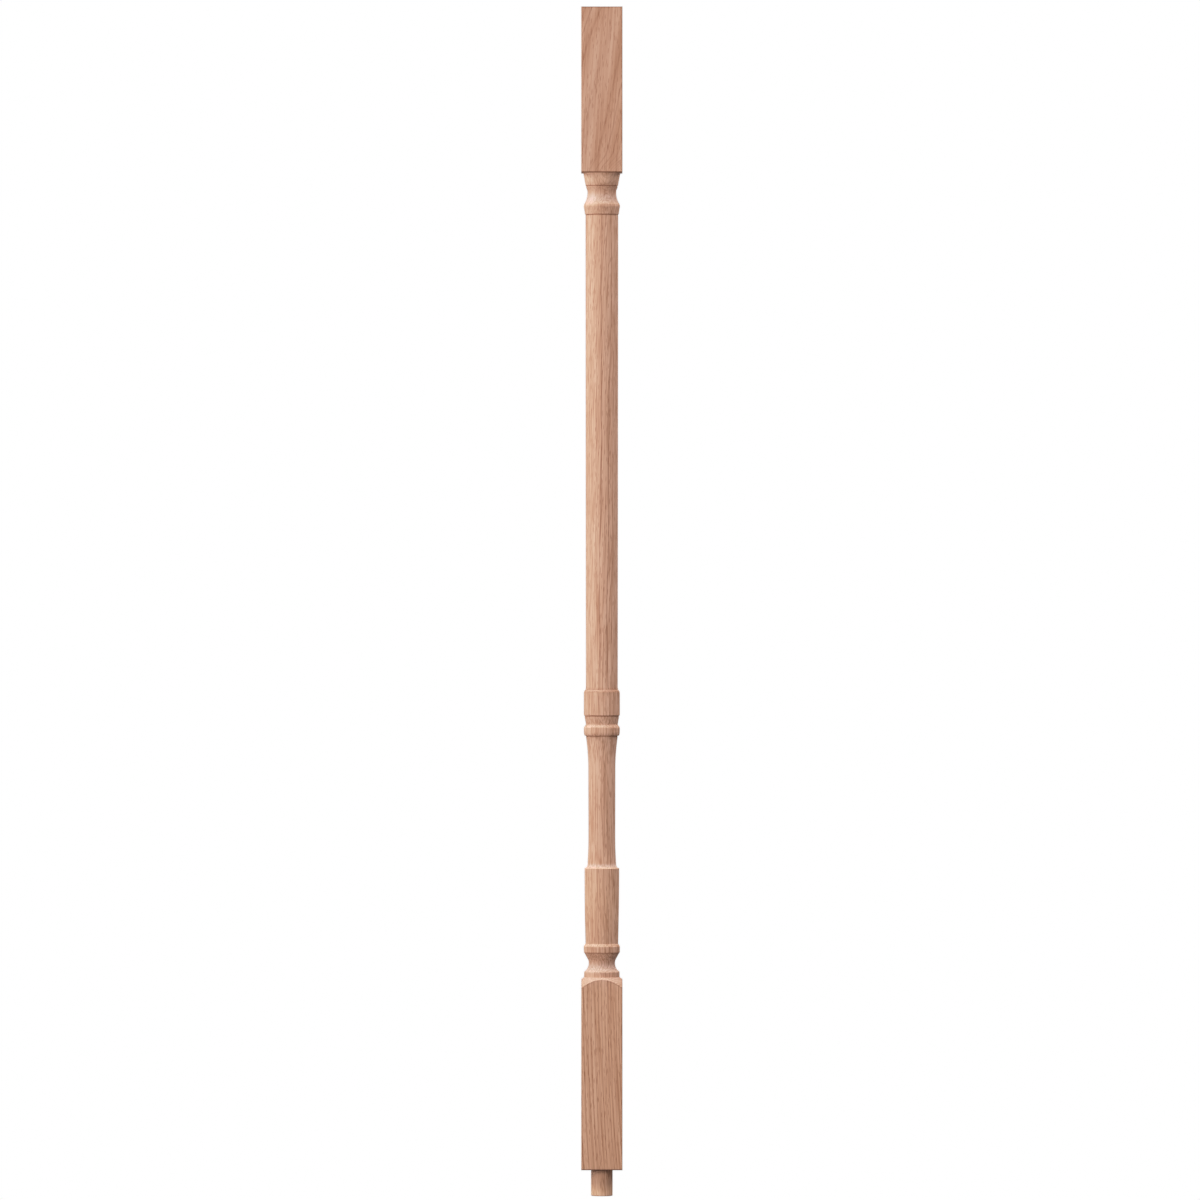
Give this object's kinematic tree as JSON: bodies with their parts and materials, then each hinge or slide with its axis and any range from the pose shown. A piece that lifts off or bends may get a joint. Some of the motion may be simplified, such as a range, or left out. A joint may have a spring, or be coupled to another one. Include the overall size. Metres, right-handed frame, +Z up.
{
  "type": "stair baluster",
  "caption": "Turned oak stair baluster with square end blocks, a long tapering shaft, rings, coves, a vase and a round pin that is glued into the tread.",
  "frame": {"origin": "on the axis at the underside of the lower block, where the baluster stands on the tread", "axes": "+Z up the turned axis from the tread to the handrail, X and Y square to the faces of the blocks"},
  "size_m": [0.0318, 0.0318, 0.9144],
  "materials": {
    "oak": "raw sanded red oak, unfinished"
  },
  "bodies": {
    "root": {"baluster": "oak"}
  },
  "joints": []
}
